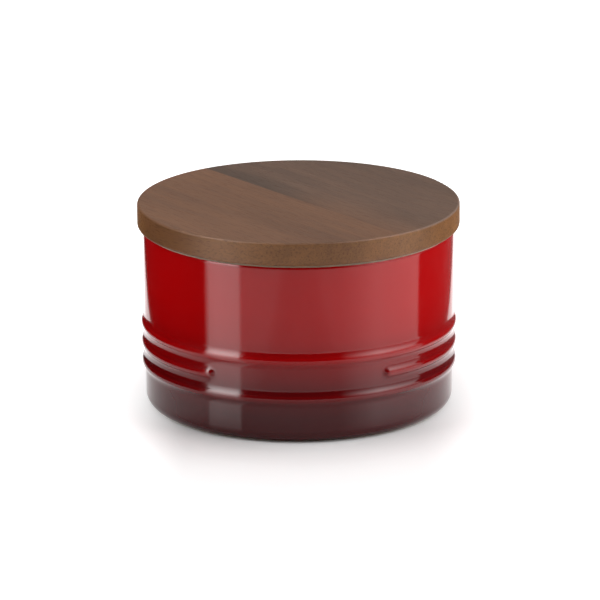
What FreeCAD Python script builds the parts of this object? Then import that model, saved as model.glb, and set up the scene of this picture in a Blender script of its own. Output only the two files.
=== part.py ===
"""Storage jar: a glazed stoneware pot with three raised rings, and a turned wooden lid with a seal.

Millimetres, +Z up. The origin is the middle of the surface that the jar stands on. The front is -Y:
there the middle ring is left open.
"""
import FreeCAD, Part
import os

from FreeCAD import Placement, Rotation, Vector
import Sketcher

SIZES = (
    # The pot
    ("jar_height", 85.0, "rim above the surface that the jar stands on"),
    ("rim_radius", 72.5, "outer radius of the wall at the rim"),
    ("foot_radius", 71.5, "outer radius of the wall, carried down to the foot"),
    ("wall_thickness", 5.5, "wall, measured level"),
    ("floor_thickness", 7.0, "inside floor above the foot"),
    ("base_round", 5.4, "round between wall and foot"),
    ("inside_round", 9.0, "round between the inside floor and the wall"),
    ("rim_outer_share", 0.42, "outer round of the rim, as a share of the wall"),
    ("rim_inner_share", 0.32, "inner round of the rim, as a share of the wall"),
    ("foot_land_width", 5.0, "width of the ring that the jar stands on"),
    ("foot_recess_depth", 1.6, "hollow inside the foot ring"),
    ("foot_round_share", 0.4, "rounds of the hollow, as a share of its depth"),
    # The three rings on the wall
    ("ring_mid_height", 30.15, "middle ring above the foot"),
    ("ring_pitch", 9.15, "from ring to ring"),
    ("ring_groove", 0.35, "bare wall between the soft blends of two rings"),
    ("ring_rise", 1.5, "how far a ring stands proud of the wall"),
    ("ring_crest_radius", 2.7, "round of a ring's crest"),
    ("ring_gap_angle", 63.0, "opening of the middle ring at the front, in degrees"),
    ("ring_sink", 0.02, "how far the open ring's foot is let into the wall"),
    # The lid
    ("lid_overhang", 2.5, "lid edge past the rim"),
    ("lid_thickness", 11.0, "lid above the rim"),
    ("lid_top_round", 1.1, "eased upper edge"),
    ("lid_lower_round", 1.5, "eased lower edge"),
    ("plug_depth", 9.0, "plug below the rim"),
    ("plug_gap", 2.0, "between the plug and the narrowest part of the mouth that it reaches"),
    ("plug_edge_share", 0.5, "lower edge round, as a share of the plug below the groove"),
    ("groove_width", 4.4, "height of the groove that holds the seal"),
    ("groove_depth", 2.4, "depth of that groove"),
    ("seam_angle", 53.0, "turn of the glue line from X, seen from above, clockwise in degrees"),
    ("seam_offset", 1.2, "glue line off the axis, to the right and back"),
    # The seal
    ("seal_stretch_gap", 0.2, "between the seal and the groove's floor"),
    ("lip_gap", 0.3, "between a lip and the narrowest part of the mouth that the plug reaches"),
    ("lip_count", 2, "lips on the seal"),
    ("lip_root", 1.0, "thickness of a lip at its root"),
    ("lip_tip", 0.6, "thickness of a lip at its tip"),
    ("lip_rise", 0.7, "how far a lip is swept up"),
    ("lip_round_share", 0.45, "round of a lip's tip, as a share of its thickness"),
    # Shared by all pieces
    ("cut_overrun", 4.0, "how far a cut runs past the solid"),
    ("edge_tolerance", 0.001, "how near an edge lies to the place where it is looked for"),
)

FULL_TURN = 360.0
HALF_TURN = 180.0
FRONT = -90.0

# Sizes that follow from the driving ones
DRAFT = "((Sizes.rim_radius - Sizes.foot_radius) / Sizes.jar_height)"
MOUTH = "(Sizes.rim_radius - Sizes.wall_thickness)"
RING_CREST = "Sizes.ring_crest_radius"
RING_REACH = "((Sizes.ring_pitch - Sizes.ring_groove) / 2)"
RING_BOTH = f"(({RING_REACH} ^ 2 + Sizes.ring_rise ^ 2) / (2 * Sizes.ring_rise))"
RING_BLEND = f"({RING_BOTH} - {RING_CREST})"
RING_TURN_ALONG = f"({RING_REACH} * {RING_CREST} / {RING_BOTH})"
RING_TURN_OUT = f"(Sizes.ring_rise * {RING_BLEND} / {RING_BOTH})"
LID_RADIUS = "(Sizes.rim_radius + Sizes.lid_overhang)"
LID_TOP = "(Sizes.jar_height + Sizes.lid_thickness)"
PLUG_BOTTOM = "(Sizes.jar_height - Sizes.plug_depth)"


def wall_at(height):
    """Outer radius of the wall at a height, as an expression."""
    return f"(Sizes.foot_radius + {DRAFT} * {height})"


def bore_at(height):
    """Inner radius of the wall at a height, as an expression."""
    return f"({wall_at(height)} - Sizes.wall_thickness)"


# The plug and its seal clear the narrowest part of the mouth, whichever way the wall leans
NARROWEST = f"min({MOUTH}; {bore_at(PLUG_BOTTOM)})"
PLUG = f"({NARROWEST} - Sizes.plug_gap)"
PLUG_LAND = "((Sizes.plug_depth - Sizes.groove_width) / 2)"
GROOVE_BOTTOM = f"({PLUG_BOTTOM} + {PLUG_LAND})"
GROOVE_TOP = f"({GROOVE_BOTTOM} + Sizes.groove_width)"
GROOVE_FLOOR = f"({PLUG} - Sizes.groove_depth)"
LIP_PITCH = "(Sizes.groove_width / Sizes.lip_count)"
LIP_TIP = f"({NARROWEST} - Sizes.lip_gap)"


def make_sheet(doc):
    sheet = doc.addObject("Spreadsheet::Sheet", "Sizes")
    for row, (alias, size, meaning) in enumerate(SIZES, start=1):
        sheet.set(f"A{row}", alias)
        sheet.set(f"B{row}", str(size))
        sheet.set(f"C{row}", meaning)
        sheet.setAlias(f"B{row}", alias)
    doc.recompute()
    return sheet


def value(expression):
    """The number that an expression on the sheet stands for, lengths in millimetres, angles in degrees."""
    result = FreeCAD.ActiveDocument.Sizes.evalExpression(expression)
    return float(getattr(result, "Value", result))


def new_body(name):
    body = FreeCAD.ActiveDocument.addObject("PartDesign::Body", name)
    body.Label = name
    return body


def origin_feature(body, role):
    return next(item for item in body.Origin.OriginFeatures if item.Role == role)


def pin_point(sketch, side, end, axis_kind, expression):
    """Hold one end of a side at a distance from the sketch's origin along one axis."""
    origin, middle = -1, 1
    vertical_axis, horizontal_axis = -2, -1
    distance = value(expression)
    if distance == 0:
        axis = vertical_axis if axis_kind == "DistanceX" else horizontal_axis
        sketch.addConstraint(Sketcher.Constraint("PointOnObject", side, end, axis))
    elif distance > 0:
        index = sketch.addConstraint(Sketcher.Constraint(axis_kind, origin, middle, side, end, distance))
        sketch.setExpression(f"Constraints[{index}]", expression)
    else:
        index = sketch.addConstraint(Sketcher.Constraint(axis_kind, side, end, origin, middle, -distance))
        sketch.setExpression(f"Constraints[{index}]", f"-({expression})")


def short_arc(start, stop, radius, bulge):
    """A short arc from start to stop that bulges to the right (+1) or to the left (-1) of the way there."""
    chord = stop - start
    to_the_right = Vector(chord.y, -chord.x, 0).normalize()
    height = radius - (radius ** 2 - chord.Length ** 2 / 4) ** 0.5
    middle = (start + stop) / 2 + to_the_right * bulge * height
    arc = Part.Arc(start, middle, stop)
    return arc if bulge > 0 else Part.Arc(stop, middle, start)


def outline(body, plane, name, corners):
    """A closed outline on a plane. Each corner is held by two expressions, and the side that starts there
    is straight, or an arc where a radius and a bulge follow the corner."""
    sketch = body.newObject("Sketcher::SketchObject", name)
    sketch.AttachmentSupport = (plane, "")
    sketch.MapMode = "FlatFace"
    points = [Vector(value(corner[0]), value(corner[1]), 0) for corner in corners]
    count = len(points)
    ends = []
    for index, corner in enumerate(corners):
        start, stop = points[index], points[(index + 1) % count]
        if len(corner) == 2:
            sketch.addGeometry(Part.LineSegment(start, stop), False)
            ends.append((1, 2))
            continue
        radius, bulge = corner[2:]
        sketch.addGeometry(short_arc(start, stop, value(radius), bulge), False)
        ends.append((1, 2) if bulge > 0 else (2, 1))
        held = sketch.addConstraint(Sketcher.Constraint("Radius", index, value(radius)))
        sketch.setExpression(f"Constraints[{held}]", radius)
    for index, corner in enumerate(corners):
        following = (index + 1) % count
        sketch.addConstraint(
            Sketcher.Constraint("Coincident", index, ends[index][1], following, ends[following][0]))
        pin_point(sketch, index, ends[index][0], "DistanceX", corner[0])
        pin_point(sketch, index, ends[index][0], "DistanceY", corner[1])
    return sketch


def turned(body, kind, name, corners, plane=None, sweep=None):
    """A section drawn beside the vertical axis and turned round it, to add or to cut."""
    sketch = outline(body, plane or origin_feature(body, "XZ_Plane"), f"{name}_section", corners)
    feature = body.newObject(f"PartDesign::{kind}", name)
    feature.Profile = sketch
    feature.ReferenceAxis = (sketch, ["V_Axis"])
    feature.Angle = FULL_TURN
    if sweep:
        feature.setExpression("Angle", sweep)
    FreeCAD.ActiveDocument.recompute()
    return feature


def turned_cut(body, name, corners):
    """A turned cut that is known to have removed something."""
    before = body.Shape.Volume
    turned(body, "Groove", name, corners)
    if body.Shape.Volume >= before:
        raise RuntimeError(f"{name} cut nothing")


def round_edges(body, name, radius, wanted):
    """Round the edges of the body that the test picks out."""
    base = body.Tip
    picked = [f"Edge{n}" for n, edge in enumerate(base.Shape.Edges, start=1) if wanted(edge)]
    if not picked:
        raise RuntimeError(f"{name} found no edge")
    fillet = body.newObject("PartDesign::Fillet", name)
    fillet.Base = (base, picked)
    fillet.setExpression("Radius", radius)
    FreeCAD.ActiveDocument.recompute()
    return fillet


def circle_at(radius, height=None):
    """A test for level circular edges of one radius, at one height or at any."""
    tolerance = value("Sizes.edge_tolerance")
    wanted_radius = value(radius)
    wanted_height = None if height is None else value(height)

    def test(edge):
        if edge.Degenerated or not isinstance(edge.Curve, Part.Circle):
            return False
        if abs(edge.Curve.Radius - wanted_radius) > tolerance:
            return False
        return wanted_height is None or abs(edge.Curve.Center.z - wanted_height) < tolerance

    return test


# The pot

def on_wall(height, along, out):
    """A corner of a section, given along the wall from a height and square out of the wall."""
    tilt = f"atan({DRAFT})"
    return (
        f"{wall_at(height)} + {along} * sin({tilt}) + {out} * cos({tilt})",
        f"{height} + {along} * cos({tilt}) - {out} * sin({tilt})",
    )


def ring_section(height, sink="0"):
    """The corners of one ring on the wall, from below: a hollow blend, the round crest, a hollow blend."""
    turn_out = f"({RING_TURN_OUT} - {sink})"
    return [
        (*on_wall(height, f"(-{RING_REACH})", f"(-{sink})"), RING_BLEND, -1),
        (*on_wall(height, f"(-{RING_TURN_ALONG})", turn_out), RING_CREST, 1),
        (*on_wall(height, RING_TURN_ALONG, turn_out), RING_BLEND, -1),
        on_wall(height, RING_REACH, f"(-{sink})"),
    ]


def add_open_ring(body, height):
    """The middle ring stops short at both sides of the front, in rounded ends."""
    end_turn = f"(Sizes.ring_gap_angle * 1 deg / 2 + asin({RING_REACH} / {wall_at(height)}))"
    right_end = f"{FRONT} deg + {end_turn}"
    plane = body.newObject("PartDesign::Plane", "ring_end_plane")
    plane.AttachmentSupport = (origin_feature(body, "XZ_Plane"), "")
    plane.MapMode = "FlatFace"
    plane.AttachmentOffset = Placement(Vector(0, 0, 0), Rotation(Vector(0, 1, 0), value(right_end)))
    plane.setExpression("AttachmentOffset.Rotation.Angle", right_end)
    FreeCAD.ActiveDocument.recompute()

    root = "(-Sizes.wall_thickness / 2)"
    section = ring_section(height, "Sizes.ring_sink")
    inner = [on_wall(height, RING_REACH, root), on_wall(height, f"(-{RING_REACH})", root)]
    sweep = f"{FULL_TURN} deg - 2 * {end_turn}"
    turned(body, "Revolution", "middle_ring", section + inner, plane, sweep)

    # An end is the upper half of the same section, turned about the ring's own middle line
    crest = on_wall(height, "0", "(Sizes.ring_rise - Sizes.ring_sink)")
    foot = on_wall(height, "0", root)
    upper_half = [(*section[2][:2], RING_BLEND, -1), section[3], inner[0], foot, (*crest, RING_CREST, 1)]
    sketch = outline(body, plane, "ring_end_section", upper_half)
    axis = sketch.addGeometry(Part.LineSegment(Vector(value(foot[0]), value(foot[1]), 0),
                                               Vector(value(crest[0]), value(crest[1]), 0)), True)
    sketch.addConstraint(Sketcher.Constraint("Coincident", axis, 1, 3, 1))
    sketch.addConstraint(Sketcher.Constraint("Coincident", axis, 2, 3, 2))
    right = body.newObject("PartDesign::Revolution", "ring_right_end")
    right.Profile = sketch
    right.ReferenceAxis = (sketch, ["Axis0"])
    right.Angle = HALF_TURN
    FreeCAD.ActiveDocument.recompute()
    left = body.newObject("PartDesign::Mirrored", "ring_left_end")
    left.Originals = [right]
    left.MirrorPlane = (origin_feature(body, "YZ_Plane"), [""])
    body.Tip = left
    FreeCAD.ActiveDocument.recompute()


def make_jar_body():
    body = new_body("jar_body")
    middle = "Sizes.ring_mid_height"
    turned(body, "Revolution", "outside", [
        ("0", "0"),
        ("Sizes.foot_radius", "0"),
        *ring_section(f"({middle} - Sizes.ring_pitch)"),
        *ring_section(f"({middle} + Sizes.ring_pitch)"),
        ("Sizes.rim_radius", "Sizes.jar_height"),
        ("0", "Sizes.jar_height"),
    ])
    add_open_ring(body, middle)

    turned_cut(body, "inside", [
        ("0", "Sizes.floor_thickness"),
        (bore_at("Sizes.floor_thickness"), "Sizes.floor_thickness"),
        (MOUTH, "Sizes.jar_height"),
        (MOUTH, "Sizes.jar_height + Sizes.cut_overrun"),
        ("0", "Sizes.jar_height + Sizes.cut_overrun"),
    ])
    hollow = "(Sizes.foot_radius - Sizes.base_round - Sizes.foot_land_width)"
    turned_cut(body, "foot_hollow", [
        ("0", "-Sizes.cut_overrun"),
        (hollow, "-Sizes.cut_overrun"),
        (hollow, "Sizes.foot_recess_depth"),
        ("0", "Sizes.foot_recess_depth"),
    ])

    rim = "Sizes.jar_height"
    inner_corner = circle_at(bore_at("Sizes.floor_thickness"), "Sizes.floor_thickness")
    round_edges(body, "inside_corner", "Sizes.inside_round", inner_corner)
    round_edges(body, "base_corner", "Sizes.base_round", circle_at("Sizes.foot_radius", "0"))
    rim_outer = "Sizes.rim_outer_share * Sizes.wall_thickness"
    round_edges(body, "rim_outside", rim_outer, circle_at("Sizes.rim_radius", rim))
    rim_inner = "Sizes.rim_inner_share * Sizes.wall_thickness"
    round_edges(body, "rim_inside", rim_inner, circle_at(MOUTH, rim))
    foot_round = "Sizes.foot_round_share * Sizes.foot_recess_depth"
    round_edges(body, "foot_hollow_edges", foot_round, circle_at(hollow))
    return body


# The lid: two boards of one turned blank, parted along the glue line

def make_lid_board(name, keeps_right):
    body = new_body(name)
    turned(body, "Revolution", "blank", [
        ("0", PLUG_BOTTOM),
        (PLUG, PLUG_BOTTOM),
        (PLUG, GROOVE_BOTTOM),
        (GROOVE_FLOOR, GROOVE_BOTTOM),
        (GROOVE_FLOOR, GROOVE_TOP),
        (PLUG, GROOVE_TOP),
        (PLUG, "Sizes.jar_height"),
        (LID_RADIUS, "Sizes.jar_height"),
        (LID_RADIUS, LID_TOP),
        ("0", LID_TOP),
    ])
    plug_round = f"Sizes.plug_edge_share * {PLUG_LAND}"
    round_edges(body, "plug_edge", plug_round, circle_at(PLUG, PLUG_BOTTOM))
    round_edges(body, "lower_edge", "Sizes.lid_lower_round", circle_at(LID_RADIUS, "Sizes.jar_height"))
    round_edges(body, "upper_edge", "Sizes.lid_top_round", circle_at(LID_RADIUS, LID_TOP))

    # Everything past the glue line belongs to the other board
    reach = f"({LID_RADIUS} + Sizes.cut_overrun)"
    far_side = f"-{reach}" if keeps_right else reach
    other_board = outline(body, origin_feature(body, "XY_Plane"), "other_board", [
        (f"-{reach}", "Sizes.seam_offset"),
        (reach, "Sizes.seam_offset"),
        (reach, far_side),
        (f"-{reach}", far_side),
    ])
    turn = "-Sizes.seam_angle * 1 deg"
    other_board.AttachmentOffset = Placement(Vector(0, 0, 0), Rotation(Vector(0, 0, 1), value(turn)))
    other_board.setExpression("AttachmentOffset.Rotation.Angle", turn)
    before = body.Shape.Volume
    parting = body.newObject("PartDesign::Pocket", "parting_cut")
    parting.Profile = other_board
    parting.Type = "ThroughAll"
    parting.SideType = "Symmetric"
    FreeCAD.ActiveDocument.recompute()
    if body.Shape.Volume >= before:
        raise RuntimeError(f"{name} was not parted from the other board")
    return body


# The seal: a band in the plug's groove, with swept-up lips

def make_lid_seal():
    body = new_body("lid_seal")
    inner = f"({GROOVE_FLOOR} + Sizes.seal_stretch_gap)"
    turned(body, "Revolution", "band", [
        (inner, GROOVE_BOTTOM),
        (PLUG, GROOVE_BOTTOM),
        (PLUG, GROOVE_TOP),
        (inner, GROOVE_TOP),
    ])
    middle = f"(({inner} + {PLUG}) / 2)"
    lip_under = f"({GROOVE_BOTTOM} + ({LIP_PITCH} - Sizes.lip_root - Sizes.lip_rise) / 2)"
    lip = turned(body, "Revolution", "lip", [
        (middle, lip_under),
        (PLUG, lip_under),
        (LIP_TIP, f"{lip_under} + Sizes.lip_rise"),
        (LIP_TIP, f"{lip_under} + Sizes.lip_rise + Sizes.lip_tip"),
        (PLUG, f"{lip_under} + Sizes.lip_root"),
        (middle, f"{lip_under} + Sizes.lip_root"),
    ])
    lips = body.newObject("PartDesign::LinearPattern", "lips")
    lips.Originals = [lip]
    lips.Direction = (origin_feature(body, "Z_Axis"), [""])
    lips.setExpression("Occurrences", "Sizes.lip_count")
    lips.setExpression("Length", f"{LIP_PITCH} * (Sizes.lip_count - 1)")
    body.Tip = lips
    FreeCAD.ActiveDocument.recompute()
    round_edges(body, "lip_tips", "Sizes.lip_round_share * Sizes.lip_tip", circle_at(LIP_TIP))
    return body


def main():
    doc = FreeCAD.newDocument("storage_jar")
    make_sheet(doc)
    pieces = [
        make_jar_body(),
        make_lid_board("lid_board_left", keeps_right=False),
        make_lid_board("lid_board_right", keeps_right=True),
        make_lid_seal(),
    ]
    doc.recompute()
    failed = [item.Label for item in doc.Objects if {"Invalid", "Error"} & set(item.State)]
    if failed:
        raise RuntimeError(f"failed objects: {failed}")
    for piece in pieces:
        if piece.Shape.isNull() or not piece.Shape.isValid() or len(piece.Shape.Solids) != 1:
            raise RuntimeError(f"{piece.Label} is not one valid solid")
    os.makedirs("parts", exist_ok=True)
    for piece in pieces:
        piece.Shape.exportStep(f"parts/{piece.Label}.step")
        box = piece.Shape.BoundBox
        print(f"{piece.Label}: {piece.Shape.Volume:.0f} mm3, z {box.ZMin:.2f} to {box.ZMax:.2f}")


main()
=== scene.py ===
# %% [markdown]
# This lesson dresses a stoneware storage jar with a wooden lid. The construction is already there as a
# fixed frame: the pot, the two boards of the lid and the seal, at their real size, in metres, with +Z up
# and the front towards -Y. Blender adds what the eye sees: a smooth pot, the glaze, the wood, the
# silicone, the light and the camera.

# %% Load the frame
import math

import bpy
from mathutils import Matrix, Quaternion, Vector


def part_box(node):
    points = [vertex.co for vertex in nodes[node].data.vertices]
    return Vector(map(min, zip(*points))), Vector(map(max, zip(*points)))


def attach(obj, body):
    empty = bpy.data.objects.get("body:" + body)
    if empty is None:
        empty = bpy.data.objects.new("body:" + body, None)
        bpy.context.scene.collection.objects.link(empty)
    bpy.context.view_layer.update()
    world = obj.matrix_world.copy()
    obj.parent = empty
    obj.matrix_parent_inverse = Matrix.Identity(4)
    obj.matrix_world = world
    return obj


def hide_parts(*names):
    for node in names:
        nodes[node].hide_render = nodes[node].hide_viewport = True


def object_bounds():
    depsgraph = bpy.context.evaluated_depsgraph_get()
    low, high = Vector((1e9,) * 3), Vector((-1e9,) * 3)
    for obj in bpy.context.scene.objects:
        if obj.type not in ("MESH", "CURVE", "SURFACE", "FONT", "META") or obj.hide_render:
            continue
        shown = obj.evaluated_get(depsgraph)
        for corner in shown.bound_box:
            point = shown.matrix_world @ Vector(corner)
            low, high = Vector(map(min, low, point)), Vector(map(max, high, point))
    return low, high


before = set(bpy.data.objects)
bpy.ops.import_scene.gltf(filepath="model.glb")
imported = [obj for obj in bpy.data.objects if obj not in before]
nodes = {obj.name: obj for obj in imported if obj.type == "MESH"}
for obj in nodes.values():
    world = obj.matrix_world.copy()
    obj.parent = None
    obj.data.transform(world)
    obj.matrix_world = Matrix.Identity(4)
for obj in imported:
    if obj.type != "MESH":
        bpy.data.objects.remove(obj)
cad_low, cad_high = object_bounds()
bpy.ops.object.select_all(action="DESELECT")
print("frame", sorted(nodes), [round(v, 4) for v in cad_high - cad_low])

# %% [markdown]
# The glaze is as smooth as glass, and a mirror shows every facet of a mesh. The frame's own pot has
# facets that are fine for its shape and too coarse for its reflections. So the pot is turned again here,
# as a potter turns it, from the same half section: straight walls, true rounds, and rows of points that
# stand close where it bends. First come the sizes, in millimetres. They are the construction's own.

# %% Sizes of the pot
MM = 0.001
JAR_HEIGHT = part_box("jar_body")[1].z / MM
FOOT_RADIUS = 71.5
RIM_RADIUS = 72.5
WALL = 5.5
FLOOR = 7.0
LEAN = math.atan((RIM_RADIUS - FOOT_RADIUS) / JAR_HEIGHT)
LEAN_DEGREES = math.degrees(LEAN)
BASE_ROUND = 5.4
INSIDE_ROUND = 9.0
RIM_OUTER_ROUND = 2.31
RIM_INNER_ROUND = 1.76
FOOT_INNER = 61.1
FOOT_RECESS = 1.6
FOOT_ROUND = 0.64
RING_MIDDLE = 30.15
RING_PITCH = 9.15
RING_REACH = 4.4
RING_RISE = 1.5
RING_CREST = 2.7
RING_BLEND = (RING_REACH ** 2 + RING_RISE ** 2) / (2 * RING_RISE) - RING_CREST
RING_TURN = RING_REACH * RING_CREST / (RING_CREST + RING_BLEND)


def wall_at(height):
    """Outer radius of the wall at a height."""
    return FOOT_RADIUS + math.tan(LEAN) * height


print("pot", round(JAR_HEIGHT, 2), "high, wall leans", round(LEAN_DEGREES, 3), "degrees")

# %% [markdown]
# A half section is a walk round the clay: from the middle of the underside out over the foot ring, up the
# wall and its rings, over the rim and down inside to the middle of the floor. Rounds are arcs of points.
# Beside each round stands a row of support points, so that its smooth shading stays within it and the
# long wall mirrors straight lines. The middle ring isn't in the section, because it is open at the front:
# only its rows are.

# %% Half section of the pot
SUPPORT = 0.4
MIDDLE_ROWS = 30
FLAT_ROW_RADIUS = 30.0


def arc(centre, radius, start, end, steps):
    """Points on a round, from one angle to another in degrees: 0 points outwards and 90 up."""
    turns = [math.radians(start + (end - start) * step / steps) for step in range(steps + 1)]
    return [(centre[0] + radius * math.cos(turn), centre[1] + radius * math.sin(turn)) for turn in turns]


def ring_out(along):
    """How far a ring stands off the wall, at a distance from its middle line: round crest, hollow blends."""
    along = abs(along)
    if along < RING_TURN:
        return RING_RISE - RING_CREST + math.sqrt(RING_CREST ** 2 - along ** 2)
    if along < RING_REACH:
        return RING_BLEND - math.sqrt(RING_BLEND ** 2 - (RING_REACH - along) ** 2)
    return 0.0


def on_wall(height, along, out=0.0):
    """A point beside the wall: a distance along the wall from a height, and a distance off it."""
    return (wall_at(height) + along * math.sin(LEAN) + out * math.cos(LEAN),
            height + along * math.cos(LEAN) - out * math.sin(LEAN))


def ring_section(height):
    """Points over one ring, close together where it bends."""
    tilt = math.asin(RING_TURN / RING_CREST)
    blend = [RING_REACH - RING_BLEND * math.sin(tilt * step / 6) for step in range(6)]
    crest = [RING_CREST * math.sin(tilt * step / 7) for step in range(7, -8, -1)]
    alongs = [-place for place in blend] + [-place for place in crest] + blend[::-1]
    return [on_wall(height, along, ring_out(along)) for along in alongs]


def rounded(centre, radius, start, end, steps):
    """An arc with a support point just before and just after it, on its two tangents."""
    points = arc(centre, radius, start, end, steps)
    side = math.copysign(SUPPORT, end - start)
    ends = []
    for point, angle, step in ((points[0], start, -side), (points[-1], end, side)):
        turn = math.radians(angle)
        ends.append((point[0] - math.sin(turn) * step, point[1] + math.cos(turn) * step))
    return [ends[0], *points, ends[1]]


base_centre = wall_at(BASE_ROUND) - BASE_ROUND / math.cos(LEAN)
rim_centre = JAR_HEIGHT - RIM_OUTER_ROUND
mouth_centre = JAR_HEIGHT - RIM_INNER_ROUND
inside_centre = FLOOR + INSIDE_ROUND
section = [(0.0, FOOT_RECESS), (FLAT_ROW_RADIUS, FOOT_RECESS)]
section += arc((FOOT_INNER - FOOT_ROUND, FOOT_RECESS - FOOT_ROUND), FOOT_ROUND, 90, 0, 4)
section += arc((FOOT_INNER + FOOT_ROUND, FOOT_ROUND), FOOT_ROUND, 180, 270, 4)
section += rounded((base_centre, BASE_ROUND), BASE_ROUND, -90, -LEAN_DEGREES, 14)
section += [on_wall(RING_MIDDLE - RING_PITCH, -RING_REACH - SUPPORT)]
section += ring_section(RING_MIDDLE - RING_PITCH)
section += [on_wall(RING_MIDDLE, RING_REACH * (2 * row / MIDDLE_ROWS - 1)) for row in range(MIDDLE_ROWS + 1)]
section += ring_section(RING_MIDDLE + RING_PITCH)
section += [on_wall(RING_MIDDLE + RING_PITCH, RING_REACH + SUPPORT)]
section += rounded((wall_at(rim_centre) - RIM_OUTER_ROUND / math.cos(LEAN), rim_centre), RIM_OUTER_ROUND,
                   -LEAN_DEGREES, 90, 12)[:-1]
section += rounded((wall_at(mouth_centre) - WALL + RIM_INNER_ROUND / math.cos(LEAN), mouth_centre),
                   RIM_INNER_ROUND, 90, 180 - LEAN_DEGREES, 8)[1:]
section += rounded((wall_at(inside_centre) - WALL - INSIDE_ROUND / math.cos(LEAN), inside_centre),
                   INSIDE_ROUND, -LEAN_DEGREES, -90, 10)
section += [(FLAT_ROW_RADIUS, FLOOR), (0.0, FLOOR)]
print("half section", len(section), "points")

# %% [markdown]
# By hand, one vertex is extruded along the section and the line is spun round the axis. A plane merged to
# its middle gives that first vertex. The spin leaves doubles at its seam and at the two poles on the
# axis, so they are merged before the normals are turned outwards.

# %% Spin the pot
STEPS = 600


def spin_pot():
    bpy.ops.object.select_all(action="DESELECT")
    bpy.ops.mesh.primitive_plane_add(size=MM)
    pot = bpy.context.object
    pot.name = "glazed_pot"
    bpy.ops.object.mode_set(mode="EDIT")
    bpy.ops.mesh.merge(type="CENTER")
    bpy.ops.transform.translate(value=(section[0][0] * MM, 0, section[0][1] * MM))
    for before, after in zip(section, section[1:]):
        way = ((after[0] - before[0]) * MM, 0, (after[1] - before[1]) * MM)
        bpy.ops.mesh.extrude_vertices_move(TRANSFORM_OT_translate={"value": way})
    bpy.ops.mesh.select_all(action="SELECT")
    bpy.ops.mesh.spin(steps=STEPS, angle=2 * math.pi, center=(0, 0, 0), axis=(0, 0, 1))
    bpy.ops.mesh.select_all(action="SELECT")
    bpy.ops.mesh.remove_doubles(threshold=0.01 * MM)
    bpy.ops.mesh.normals_make_consistent(inside=False)
    bpy.ops.object.mode_set(mode="OBJECT")
    bpy.ops.object.shade_smooth()
    return pot


pot = spin_pot()
print("pot has", len(pot.data.vertices), "points and", len(pot.data.polygons), "faces")

# %% [markdown]
# The middle ring stops short at both sides of the front and ends in round noses. A displace modifier
# pushes its rows off the wall by the same ring section: behind the noses by the distance from the ring's
# middle line, in the opening by the distance from the nose's centre. The weights of a vertex group carry
# that height.

# %% Middle ring, open at the front
OPENING_DEGREES = 63.0
NOSE_TURN = math.radians(OPENING_DEGREES / 2) + math.asin(RING_REACH / wall_at(RING_MIDDLE))
WALL_SLACK = 1.0


def ring_weight(point):
    """Height of the open ring over a point of the wall, as a share of the whole rise."""
    radius = math.hypot(point.x, point.y) / MM
    if abs(radius - wall_at(RING_MIDDLE)) > WALL_SLACK:
        return 0.0
    along = (point.z / MM - RING_MIDDLE) / math.cos(LEAN)
    past = NOSE_TURN - abs(math.atan2(point.x, -point.y))
    aside = radius * math.sin(past) if past > 0 else 0.0
    return ring_out(math.hypot(along, aside)) / RING_RISE


def raise_open_ring():
    group = pot.vertex_groups.new(name="open_ring")
    for vertex in pot.data.vertices:
        if abs(vertex.co.z / MM - RING_MIDDLE) < RING_REACH:
            weight = ring_weight(vertex.co)
            if weight > 0:
                group.add([vertex.index], weight, "REPLACE")
    push = pot.modifiers.new("open_ring", "DISPLACE")
    push.vertex_group = group.name
    push.direction = "NORMAL"
    push.mid_level = 0.0
    push.strength = RING_RISE * MM
    bpy.ops.object.modifier_apply(modifier=push.name)
    pot.vertex_groups.clear()


raise_open_ring()
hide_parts("jar_body")
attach(pot, "jar")
print("open ring ends", round(math.degrees(NOSE_TURN), 2), "degrees each side of the front")

# %% [markdown]
# Every finish here is a small network of shader nodes. Placing them one by one by hand makes long
# scripts, so one class wraps a socket: arithmetic on it adds Math nodes, and its node method adds any
# other node from its type, its settings and its sockets. The finishes below then read like formulas.

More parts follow.
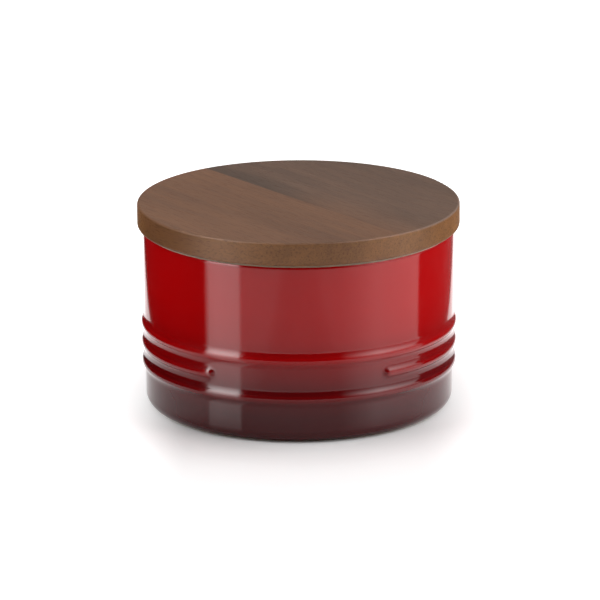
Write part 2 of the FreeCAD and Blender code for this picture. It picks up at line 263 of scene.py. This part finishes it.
# %% Shader maths as expressions
class Wire:
    """One output socket of a shader node, with arithmetic."""

    def __init__(self, socket):
        self.socket = socket

    def node(self, kind, settings=None, sockets=None, out=0):
        """Add a node beside this one: settings first, then the values or links of its sockets."""
        tree = self.socket.id_data
        made = tree.nodes.new(kind)
        for name, setting in (settings or {}).items():
            if name == "stops":
                set_stops(made.color_ramp, setting)
            else:
                setattr(made, name, setting)
        for name, given in (sockets or {}).items():
            if isinstance(given, Wire):
                tree.links.new(given.socket, made.inputs[name])
            else:
                made.inputs[name].default_value = given
        return Wire(made.outputs[out])

    def math(self, operation, *others):
        """A Math node on this value and others."""
        return self.node("ShaderNodeMath", {"operation": operation}, dict(enumerate((self, *others))))

    def __add__(self, other):
        return self.math("ADD", other)

    def __sub__(self, other):
        return self.math("SUBTRACT", other)

    def __rsub__(self, other):
        return self.node("ShaderNodeMath", {"operation": "SUBTRACT"}, {0: other, 1: self})

    def __mul__(self, other):
        return self.math("MULTIPLY", other)

    def __truediv__(self, other):
        return self.math("DIVIDE", other)

    def __rtruediv__(self, other):
        return self.node("ShaderNodeMath", {"operation": "DIVIDE"}, {0: other, 1: self})

    def __abs__(self):
        return self.math("ABSOLUTE")

    def __pow__(self, other):
        return self.math("POWER", other)

    __radd__ = __add__

    def ramp_up(self, start, end):
        """0 below start, 1 above end, with a soft step between them (or the other way round)."""
        settings = {"interpolation_type": "SMOOTHSTEP", "clamp": True}
        if start < end:
            sockets = {"Value": self, "From Min": start, "From Max": end}
            return self.node("ShaderNodeMapRange", settings, sockets)
        return 1 - self.ramp_up(end, start)

    def colours(self, *stops):
        """A colour for each value: stops are a position from 0 to 1 and a colour."""
        return self.node("ShaderNodeValToRGB", {"stops": stops}, {0: self})

    def curve(self, *points):
        """A value for each value, in straight lines between points."""
        first, last = points[0][0], points[-1][0]
        top = max(value for place, value in points)
        stops = [((place - first) / (last - first), (value / top,) * 3) for place, value in points]
        return ((self - first) / (last - first)).colours(*stops) * top

    def noise(self, scale, detail=2.0, roughness=0.5, distortion=0.0):
        """Noise, about 0.5 in the middle, on this vector."""
        sockets = {"Vector": self, "Scale": scale, "Detail": detail, "Roughness": roughness,
                   "Distortion": distortion}
        return self.node("ShaderNodeTexNoise", None, sockets)

    def blend(self, other, share):
        """This colour, mixed towards another by a share."""
        return self.node("ShaderNodeMix", {"data_type": "RGBA"}, {0: share, 6: self, 7: other}, out=2)

    def times(self, x, y, z):
        """This vector, scaled along each axis."""
        return self.node("ShaderNodeVectorMath", {"operation": "MULTIPLY"}, {0: self, 1: (x, y, z)})

    def axes(self):
        """The three parts of this vector."""
        first = self.node("ShaderNodeSeparateXYZ", None, {0: self})
        return [Wire(socket) for socket in first.socket.node.outputs]


def set_stops(color_ramp, stops):
    """Give a colour ramp these stops, each a position and a colour."""
    elements = color_ramp.elements
    while len(elements) < len(stops):
        elements.new(1.0)
    for element, (position, colour) in zip(elements, stops):
        element.position = position
        element.color = (*colour[:3], 1.0)


def new_finish(name):
    """An empty material: its main shader and a wire with the object's own coordinates."""
    material = bpy.data.materials.new(name)
    material.use_nodes = True
    shader = material.node_tree.nodes["Principled BSDF"]
    coordinates = material.node_tree.nodes.new("ShaderNodeTexCoord")
    return material, shader, Wire(coordinates.outputs["Object"])


def plug_in(shader, **wires):
    """Link wires to the main shader's sockets, named with underscores for spaces."""
    for name, wire in wires.items():
        shader.id_data.links.new(wire.socket, shader.inputs[name.replace("_", " ").title()])


def roughen(shader, height, strength, distance):
    """A bump node between a height and the shader's normal."""
    sockets = {"Strength": strength, "Distance": distance, "Height": height}
    plug_in(shader, normal=height.node("ShaderNodeBump", None, sockets))


print("shader maths ready")

# %% [markdown]
# The glaze is a deep red over dark stoneware. It was sprayed full at the top and fades to a burgundy at
# the foot, and over the crests of the rings its colour is lighter. At the rim it stops in a fine pale
# line, where the cream glaze of the inside begins. The glaze thins there, and the line is painted paler
# than the cream as a painted reflection under the edge of the lid. The glaze is wiped off the foot ring,
# where the bare clay shows. All of this follows the height and the distance from the axis, which object
# coordinates give.

# %% Glaze
GLAZE_FADE = (
    (0.00, (0.052, 0.0006, 0.0014)),
    (0.14, (0.054, 0.0006, 0.0014)),
    (0.28, (0.102, 0.0005, 0.0015)),
    (0.58, (0.362, 0.0001, 0.0008)),
    (0.72, (0.410, 0.0001, 0.0008)),
    (1.00, (0.425, 0.0001, 0.0010)),
)
CREAM_GLAZE = (0.58, 0.51, 0.40, 1.0)
# The pale rim line: thin glaze, painted paler than the cream as a painted reflection under the lid's edge.
THIN_GLAZE_GLINT = (0.62, 0.57, 0.45, 1.0)
BARE_CLAY = (0.46, 0.33, 0.22, 1.0)
CREST_LIFT = 0.085
GLINT_LINE_HEIGHTS = [(JAR_HEIGHT - drop) * MM for drop in (1.2, 1.0)]
INSIDE_EDGE = (-2.0 * MM, -2.4 * MM)
INSIDE_FROM = (5.0 * MM, 6.0 * MM)
CLAY_LINE = (0.55 * MM, 0.35 * MM)
GLAZE_IOR = 1.37


def make_glaze():
    material, shader, place = new_finish("red_glaze")
    x, y, z = place.axes()
    radius = (x * x + y * y) ** 0.5
    cloud = place.noise(45.0, 3.0)
    off_wall = radius - (z * math.tan(LEAN) + FOOT_RADIUS * MM)
    crest = (off_wall / (RING_RISE * MM)).ramp_up(0.3, 1.05)
    height = z / (JAR_HEIGHT * MM) + (cloud - 0.5) * 0.03
    # Over the ring crests the height is lifted, so they take a lighter red from higher up the fade.
    colour = (height + crest * CREST_LIFT).colours(*GLAZE_FADE)
    wobble = (place.noise(160.0, 2.0) - 0.5) * (0.3 * MM)
    inside = off_wall.ramp_up(*INSIDE_EDGE) * z.ramp_up(*INSIDE_FROM)
    # Painted reflection: the pale line at the top of the rim's outer round, under the lid.
    top = (z + wobble * 0.5).ramp_up(*GLINT_LINE_HEIGHTS)
    colour = colour.blend(THIN_GLAZE_GLINT, top)
    colour = colour.blend(CREAM_GLAZE, inside)
    clay_grain = place.noise(2600.0, 2.0)
    bare = (z + wobble).ramp_up(*CLAY_LINE)
    colour = colour.blend(BARE_CLAY, bare)
    ripple = place.noise(70.0, 1.0)
    plug_in(shader, base_color=colour, roughness=bare * 0.65 + 0.11 + (ripple - 0.5) * 0.05)
    roughen(shader, ripple * (1 - bare) + clay_grain * bare * 0.25, 0.06, 0.2 * MM)
    shader.inputs["IOR"].default_value = GLAZE_IOR
    return material


glaze = make_glaze()
pot.data.materials.append(glaze)
print("glaze nodes", len(glaze.node_tree.nodes))

# %% [markdown]
# The lid is oiled hardwood. Wood is a solid pattern, so it is drawn in space and not on the surface: the
# board's own axes run along the grain, across it and up. Growth layers and fibres are noise drawn out
# along the grain, and pores are thin threads. Where the round edge cuts across the grain, the threads
# become specks.

# %% Wood
SEAM_TURN = math.radians(-53)
SEAM_OFFSET = 1.2 * MM
LID_TOP = cad_high.z
WARM_EDGE = ((0.118, 0.045, 0.0110), (0.205, 0.084, 0.0240))
WARM_FACE = ((0.080, 0.033, 0.0135), (0.150, 0.065, 0.0285))
DARK_EDGE = ((0.122, 0.048, 0.0130), (0.208, 0.089, 0.0270))
DARK_FACE = ((0.060, 0.031, 0.0175), (0.116, 0.060, 0.0350))
SIDE_GRAIN = (0.070, 0.024, 0.0060, 1.0)
GLUE_TONE = (0.030, 0.018, 0.011, 1.0)
BAND_SHARES = (0.72, 0.76, 0.74)
PORE_SHARES = (0.55, 0.5, 0.45)
DRIFT_SCALE = (9, 30, 30)
LAYER_SCALE = (6, 130, 60)
FIBRE_SCALE = (45, 800, 800)
PORE_SCALE = (120, 1250, 1250)
FACE_FROM = (LID_TOP - 0.9 * MM, LID_TOP - 0.2 * MM)
SIDE_GRAIN_RUN = (50 * MM, 10 * MM)
WARM_BAND = (SEAM_OFFSET + 26 * MM, SEAM_OFFSET - 6 * MM)
WARM_BAND_RUN = (-32 * MM, 26 * MM)
DARK_BAND = (SEAM_OFFSET + 15 * MM, SEAM_OFFSET + 1 * MM)
DARK_BAND_RUN = (38 * MM, -45 * MM)
GLUE_LINE = (0.22 * MM, 0.05 * MM)
GLUE_LINE_RUN = (20 * MM, -45 * MM)
WOOD_IOR = 1.42


def deeper(tone, shares):
    """A darker colour: each channel of a tone times its share."""
    return (*(channel * share for channel, share in zip(tone, shares)), 1.0)


def make_wood(name, edge_tones, face_tones, seed, dark_edge):
    """A board: tones of its edge and face, a seed for its grain, and how dark its band by the seam is."""
    material, shader, place = new_finish(name)
    turned = place.node("ShaderNodeMapping", {"vector_type": "POINT"},
                        {"Vector": place, "Rotation": (0, 0, -SEAM_TURN)})
    along, across, up = turned.axes()
    shift = (seed, seed * 0.7, seed * 0.3)
    grain = turned.node("ShaderNodeVectorMath", {"operation": "ADD"}, {0: turned, 1: shift})
    drift = grain.times(*DRIFT_SCALE).noise(1.0, 2.0)
    layers = grain.times(*LAYER_SCALE).noise(1.0, 3.0, 0.55, 0.8)
    fibre = grain.times(*FIBRE_SCALE).noise(1.0, 3.0, 0.6)
    pores = grain.times(*PORE_SCALE).noise(1.0, 3.0, 0.7)
    face = up.ramp_up(*FACE_FROM)
    pore = pores.ramp_up(0.50, 0.66)
    tone = 0.5 + (drift - 0.5) * 0.8 + (layers - 0.5) * 1.0 + (fibre - 0.5) * 0.9
    edge = tone.colours((0.15, edge_tones[0]), (0.85, edge_tones[1]))
    side_grain = abs(along).ramp_up(*SIDE_GRAIN_RUN)
    edge = edge.blend(SIDE_GRAIN, side_grain * 0.6)
    plain = tone.colours((0.15, face_tones[0]), (0.85, face_tones[1]))
    warm = tone.colours((0.15, WARM_FACE[0]), (0.85, WARM_FACE[1]))
    by_seam = (across + (layers - 0.5) * (20 * MM)).ramp_up(*WARM_BAND)
    plain = plain.blend(warm, by_seam * along.ramp_up(*WARM_BAND_RUN) * 0.8)
    colour = edge.blend(plain, face)
    band = (across + (drift - 0.5) * (22 * MM)).ramp_up(*DARK_BAND)
    shade = band * along.ramp_up(*DARK_BAND_RUN) * dark_edge
    colour = colour.blend(deeper(face_tones[0], BAND_SHARES), shade)
    colour = colour.blend(deeper(face_tones[0], PORE_SHARES), pore * (0.6 - face * 0.4))
    glue = abs(across - SEAM_OFFSET).ramp_up(*GLUE_LINE)
    colour = colour.blend(GLUE_TONE, glue * (0.1 + along.ramp_up(*GLUE_LINE_RUN) * 0.35))
    plug_in(shader, base_color=colour, roughness=0.44 + fibre * 0.12 + pore * 0.1)
    roughen(shader, fibre * 0.6 - pore, 0.15, 0.10 * MM)
    shader.inputs["IOR"].default_value = WOOD_IOR
    return material


warm_wood = make_wood("warm_oiled_wood", WARM_EDGE, WARM_FACE, 0.31, 0.0)
dark_wood = make_wood("dark_oiled_wood", DARK_EDGE, DARK_FACE, 0.83, 0.8)
print("wood nodes", len(warm_wood.node_tree.nodes))

# %% [markdown]
# The seal is moulded silicone, milky and a little dull from handling. It hides under the lid and shows
# when the lid is lifted.

# %% Silicone
def make_silicone():
    material, shader, place = new_finish("milky_silicone")
    dust = place.noise(380.0, 4.0, 0.6)
    cloud = place.noise(40.0, 2.0)
    milk = (cloud * 0.7 + dust * 0.3).colours((0.3, (0.70, 0.68, 0.62)), (0.7, (0.80, 0.785, 0.735)))
    plug_in(shader, base_color=milk, roughness=dust * 0.3 + 0.32)
    roughen(shader, dust, 0.08, 0.1 * MM)
    shader.inputs["Subsurface Weight"].default_value = 0.25
    shader.inputs["Subsurface Radius"].default_value = (2 * MM, 2 * MM, 1.6 * MM)
    shader.inputs["Subsurface Scale"].default_value = 1.0
    return material


silicone = make_silicone()
for node, finish in (("lid_board_left", warm_wood), ("lid_board_right", dark_wood), ("lid_seal", silicone)):
    nodes[node].data.materials.clear()
    nodes[node].data.materials.append(finish)
    print(node, "wears", finish.name)

# %% [markdown]
# The jar stands on a plain white table. The table is matt and pale, and for the camera, for mirrors and
# for glass it glows a little, so that it stays white away from the jar and keeps the jar's shadow. The glow
# fades out round a point a little ahead of the jar, so the shade close to the jar, longest in front of it,
# is partly painted shadow. It glows more at the two sides, where the lamps would throw long shadows. That
# glow lights nothing.

# %% Table
TABLE_SIZE = 12.0
TABLE_DROP = 0.05 * MM
TABLE_WHITE = (0.85, 0.85, 0.85, 1.0)
PAINTED_SHADOW_AHEAD = 35 * MM
TABLE_GLOW = ((0, 0), (0.048, 0), (0.08, 0.2), (0.14, 0.36), (0.3, 0.45), (0.6, 1), (3, 1))
LEFT_GLOW = 0.46
LEFT_GLOW_FROM = (-50 * MM, -85 * MM)
RIGHT_GLOW = 0.34
RIGHT_GLOW_FROM = (55 * MM, 95 * MM)

bpy.ops.mesh.primitive_plane_add(size=TABLE_SIZE, location=(0, 0, -TABLE_DROP))
table = bpy.context.object
table.name = "table"


def make_table():
    material, shader, place = new_finish("white_table")
    tree = material.node_tree
    x, y, z = place.axes()
    path = tree.nodes.new("ShaderNodeLightPath")
    seen = [Wire(path.outputs[name]) for name in ("Is Camera Ray", "Is Glossy Ray", "Is Transmission Ray")]
    # The glow dips round a point ahead of the jar: painted shadow, longest in front of it.
    ahead = y + PAINTED_SHADOW_AHEAD
    near = (x * x + ahead * ahead) ** 0.5
    glow = near.curve(*TABLE_GLOW)
    glow = glow + x.ramp_up(*LEFT_GLOW_FROM) * LEFT_GLOW + x.ramp_up(*RIGHT_GLOW_FROM) * RIGHT_GLOW
    shader.inputs["Base Color"].default_value = TABLE_WHITE
    shader.inputs["Roughness"].default_value = 1.0
    shader.inputs["Specular IOR Level"].default_value = 0.0
    shader.inputs["Emission Strength"].default_value = 1.0
    plug_in(shader, emission_color=(seen[0] + seen[1] + seen[2]).math("MINIMUM", 1.0) * glow)
    return material


table.data.materials.append(make_table())
print("table", table.name)

# %% [markdown]
# The light is a small studio: a soft box overhead, a narrow one at the left and a broad one at the right.
# The two at the sides give the front of the wall its shade and the flanks their light. Lamps are even,
# and the mirror images in the glaze aren't, so the two at the sides stay out of reflections, and the next
# step draws what the glaze mirrors.

# %% Soft boxes
LAMP_AIM = Vector((0, 0, 0.05))


def toward(turn, rise, distance):
    """A place round the jar: degrees to the right of the front, degrees up, and metres away."""
    turn, rise = math.radians(turn), math.radians(rise)
    level = distance * math.cos(rise)
    return LAMP_AIM + Vector((level * math.sin(turn), -level * math.cos(turn), distance * math.sin(rise)))


def add_box(name, place, size, watts, mirrored):
    """A soft box: a rectangular area lamp that looks at the jar."""
    lamp = bpy.data.lights.new(name, "AREA")
    lamp.shape = "RECTANGLE"
    lamp.size, lamp.size_y = size
    lamp.energy = watts
    box = bpy.data.objects.new(name, lamp)
    bpy.context.collection.objects.link(box)
    box.location = place
    box.rotation_mode = "QUATERNION"
    box.rotation_quaternion = (LAMP_AIM - place).to_track_quat("-Z", "Y")
    box.visible_glossy = mirrored
    return box


add_box("overhead_box", Vector((0, -0.1, 1.5)), (1.5, 1.5), 5.0, True)
add_box("left_box", toward(-80, 27, 1.0), (0.8, 1.1), 6.3, False)
add_box("right_box", toward(84, 28, 1.2), (1.3, 1.2), 16.8, False)

world = bpy.data.worlds.new("studio")
bpy.context.scene.world = world
world.use_nodes = True
world.node_tree.nodes["Background"].inputs["Color"].default_value = (1.0, 1.0, 1.0, 1.0)
world.node_tree.nodes["Background"].inputs["Strength"].default_value = 0.05

# %% [markdown]
# A glazed pot shows its studio: the white table, a narrow bright strip at the left with sharp sides, and
# a broad soft window at the right that starts sharply, both brighter higher up. The upper slopes of the
# rings and the rim look up, so a far dome carries their strip and window. The wall looks down at the
# table, so a clear sheet on the table carries the same two lights low down, added to the table under it.
# Only reflections see the dome and the sheet. The sides of the lights follow the columns of the wall, so
# both are drawn by the column of glaze that mirrors them to the front, in degrees to the right of it.

# %% What the glaze mirrors
FRONT_VIEW = math.radians(16.0)
DOME_RADIUS = 6.0
SHEET_LIFT = 0.1 * MM
DEGREES = 180 / math.pi
STRIP_LEFT = (-35.9, -35.2)
STRIP_RIGHT = (-21.8, -22.5)
STRIP_FULL = (-35, -31)
WINDOW_COLUMNS = ((15.4, 0), (20, 0.28), (30, 1), (45, 0.5), (60, 0.18), (90, 0.06))
DOME_STRIP = ((6, 5.0), (30, 13), (56, 13), (68, 0), (90, 0))
DOME_WINDOW = ((6, 1.1), (15, 2), (40, 9), (56, 9), (68, 0), (90, 0))
SHEET_STRIP = ((0, 0), (9, 1.4), (45, 2.7), (300, 3.6))
SHEET_WINDOW = ((0, 0), (9, 1.25), (45, 1.1), (300, 1.1))


def strip_at(column):
    """The narrow strip at the left."""
    inside = column.ramp_up(*STRIP_LEFT) * column.ramp_up(*STRIP_RIGHT)
    return inside * (0.85 + column.ramp_up(*STRIP_FULL) * 0.15)


def window_at(column):
    """The broad window at the right."""
    return column.curve(*WINDOW_COLUMNS)


def new_glow(name):
    """An empty glowing material: its tree and a wire with the object's own coordinates."""
    material = bpy.data.materials.new(name)
    material.use_nodes = True
    tree = material.node_tree
    tree.nodes.clear()
    return material, Wire(tree.nodes.new("ShaderNodeTexCoord").outputs["Object"])


def set_glow(material, glow):
    """A clear sheet that adds this glow to what lies behind it."""
    tree = material.node_tree
    light = glow.node("ShaderNodeEmission", None, {"Color": glow})
    clear = glow.node("ShaderNodeBsdfTransparent")
    both = glow.node("ShaderNodeAddShader", None, {0: light, 1: clear})
    tree.links.new(both.socket, tree.nodes.new("ShaderNodeOutputMaterial").inputs["Surface"])
    return material


def make_dome_glow():
    """The slope that mirrors a far place to the front lies half way between the two directions."""
    material, place = new_glow("mirrored_dome")
    far = place.node("ShaderNodeVectorMath", {"operation": "NORMALIZE"}, {0: place})
    front = (0, -math.cos(FRONT_VIEW), math.sin(FRONT_VIEW))
    x, y, z = far.node("ShaderNodeVectorMath", {"operation": "ADD"}, {0: far, 1: front}).axes()
    column = x.math("ARCTAN2", 0 - y) * DEGREES
    tilt = z.math("ARCTAN2", (x * x + y * y) ** 0.5) * DEGREES
    strip = strip_at(column) * tilt.curve(*DOME_STRIP)
    window = window_at(column) * tilt.curve(*DOME_WINDOW)
    back = abs(column).ramp_up(66, 80) * tilt.ramp_up(68, 56) * 0.14
    above = tilt.ramp_up(58, 72) * 0.17
    return set_glow(material, strip + window + back + above)


def make_sheet_glow():
    """The wall mirrors each place on the table once: first its column, then its height in millimetres."""
    material, place = new_glow("mirrored_sheet")
    x, y, z = place.axes()
    focus = 0.5 * wall_at(JAR_HEIGHT / 2) * MM
    first = x.math("ARCTAN2", 0 - y - focus * 1.2) * 0.5
    image = focus / first.math("COSINE")
    ahead = 0 - y - image
    column = x.math("ARCTAN2", ahead) * (0.5 * DEGREES)
    run = (x * x + ahead * ahead) ** 0.5 - image
    height = run * (math.tan(FRONT_VIEW + 2 * LEAN) / MM)
    strip = strip_at(column) * height.curve(*SHEET_STRIP)
    window = window_at(column) * height.curve(*SHEET_WINDOW)
    return set_glow(material, strip + window)


def only_mirrored(card, glow):
    """Give a card its glow and hide it from everything but reflections."""
    bpy.ops.object.transform_apply(location=True, rotation=True, scale=True)
    card.data.materials.append(glow)
    for ray in ("camera", "diffuse", "shadow", "transmission", "volume_scatter"):
        setattr(card, "visible_" + ray, False)


bpy.ops.mesh.primitive_uv_sphere_add(segments=64, ring_count=32, radius=DOME_RADIUS)
dome = bpy.context.object
dome.name = "mirrored_dome"
only_mirrored(dome, make_dome_glow())
bpy.ops.mesh.primitive_circle_add(vertices=128, radius=DOME_RADIUS, fill_type="NGON",
                                  location=(0, 0, SHEET_LIFT))
sheet = bpy.context.object
sheet.name = "mirrored_sheet"
only_mirrored(sheet, make_sheet_glow())
print("mirrored lights", dome.name, sheet.name)

# %% [markdown]
# The flanks of a round pot mirror the table beside it at a flat angle, so strongly that they turn pale. A
# photographer stands a dark flag at each side, just outside the picture, to keep their colour deep. The
# left one starts where the strip ends. The right one is grey, and starts where the window fades. Like the
# dome, they show only in reflections.

# %% Dark flags at the sides
FLAG_ASIDE = 0.15
FLAG_HEIGHT = 0.1


def make_flag_cloth(name, tone):
    material, shader, place = new_finish(name)
    shader.inputs["Base Color"].default_value = (tone, tone, tone, 1.0)
    shader.inputs["Roughness"].default_value = 1.0
    shader.inputs["Specular IOR Level"].default_value = 0.0
    return material


for name, tone, aside, start, end in (("left_flag", 0.02, -FLAG_ASIDE, -0.09, 0.3),
                                      ("right_flag", 0.25, FLAG_ASIDE, -0.03, 0.3)):
    bpy.ops.mesh.primitive_plane_add(size=1.0, location=(aside, (start + end) / 2, FLAG_HEIGHT / 2),
                                     rotation=(0, math.pi / 2, 0))
    flag = bpy.context.object
    flag.name = name
    flag.scale = (FLAG_HEIGHT, end - start, 1.0)
    only_mirrored(flag, make_flag_cloth(name, tone))
    print(name, [round(v, 3) for v in flag.dimensions])

# %% [markdown]
# The camera stands far back with a long lens, a little above the lid, as the picture was taken. It is
# turned a fraction of a degree about its own axis, because the picture isn't quite level.

# %% Camera
CAMERA_DISTANCE = 3.0
CAMERA_ELEVATION = FRONT_VIEW
CAMERA_ROLL = math.radians(0.241)
CAMERA_AIM = Vector((0.57 * MM, 0, 48 * MM))
LENS_MM = 385.8
SENSOR_MM = 36.0

camera_data = bpy.data.cameras.new("camera")
camera_data.lens = LENS_MM
camera_data.sensor_width = SENSOR_MM
camera = bpy.data.objects.new("camera", camera_data)
bpy.context.collection.objects.link(camera)
back = Vector((0, -math.cos(CAMERA_ELEVATION), math.sin(CAMERA_ELEVATION)))
camera.location = CAMERA_AIM + back * CAMERA_DISTANCE
camera.rotation_mode = "QUATERNION"
camera.rotation_quaternion = (-back).to_track_quat("-Z", "Y") @ Quaternion((0, 0, 1), -CAMERA_ROLL)
bpy.context.scene.camera = camera
bpy.context.scene.view_settings.view_transform = "Standard"
print("camera", [round(v, 3) for v in camera.location])
